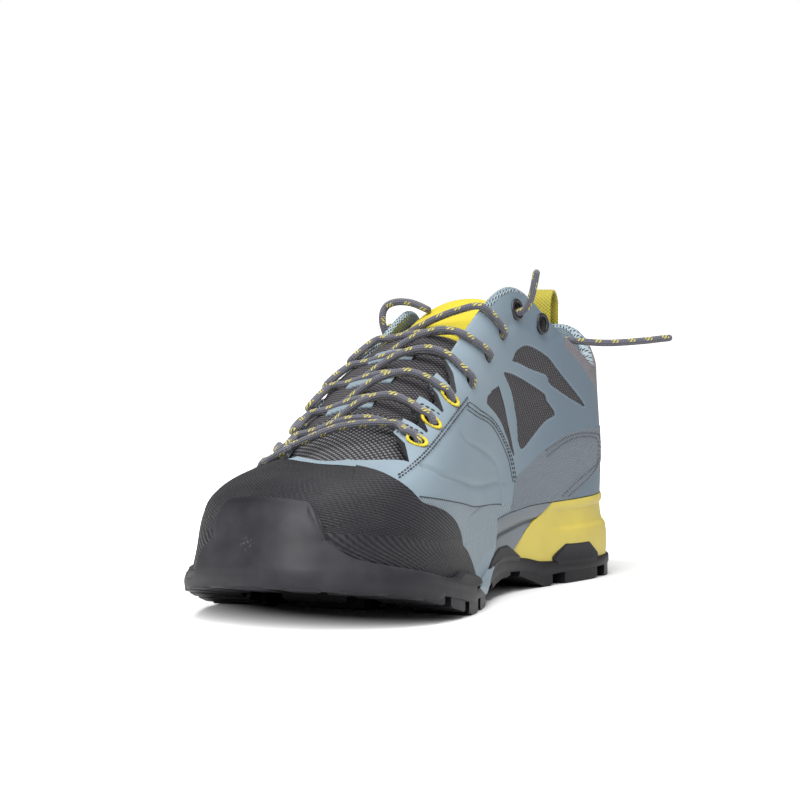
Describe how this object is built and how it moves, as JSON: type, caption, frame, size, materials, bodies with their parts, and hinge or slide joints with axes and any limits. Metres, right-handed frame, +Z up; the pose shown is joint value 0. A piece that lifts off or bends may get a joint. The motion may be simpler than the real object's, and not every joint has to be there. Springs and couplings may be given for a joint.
{
  "type": "hiking shoe",
  "caption": "Low hiking shoe for the right foot: hollow upper with tongue and lace, rubber toe cap, foam midsole and lugged rubber outsole.",
  "frame": {"origin": "middle of the shoe's box in plan, on the ground under the lugs", "axes": "+X towards the toe, +Y towards the wearer's left, which is the inner side of this right shoe, +Z up"},
  "size_m": [0.299, 0.1148, 0.1253],
  "materials": {
    "black_rubber": "smooth moulded rubber, slightly satin",
    "charcoal_rubber": "finely ribbed matt rubber",
    "grey_foam": "moulded foam with grooves",
    "yellow_foam": "moulded foam",
    "lining_cloth": "spacer mesh lining",
    "blue_upper": "matt coated synthetic with mesh windows",
    "tongue_cloth": "padded cloth, yellow top over dark mesh",
    "yellow_webbing": "woven webbing",
    "dark_metal": "dark coated eyelet",
    "lace_cord": "round braided cord with yellow flecks"
  },
  "bodies": {
    "root": {"outsole": "black_rubber", "midsole": "grey_foam", "heel_wedge": "yellow_foam", "insole": "lining_cloth", "upper": "blue_upper", "toe_cap": "charcoal_rubber", "tongue": "tongue_cloth", "pull_loop": "yellow_webbing", "eyelet_ring_inner_1": "dark_metal", "eyelet_ring_inner_2": "dark_metal", "eyelet_ring_outer_1": "dark_metal", "eyelet_ring_outer_2": "dark_metal", "lace_bar": "lace_cord", "lace_cross_1": "lace_cord", "lace_cross_2": "lace_cord", "lace_cross_3": "lace_cord", "lace_cross_4": "lace_cord", "lace_cross_5": "lace_cord", "lace_end_inner": "lace_cord", "lace_end_outer": "lace_cord", "lace_slack": "lace_cord"}
  },
  "joints": []
}
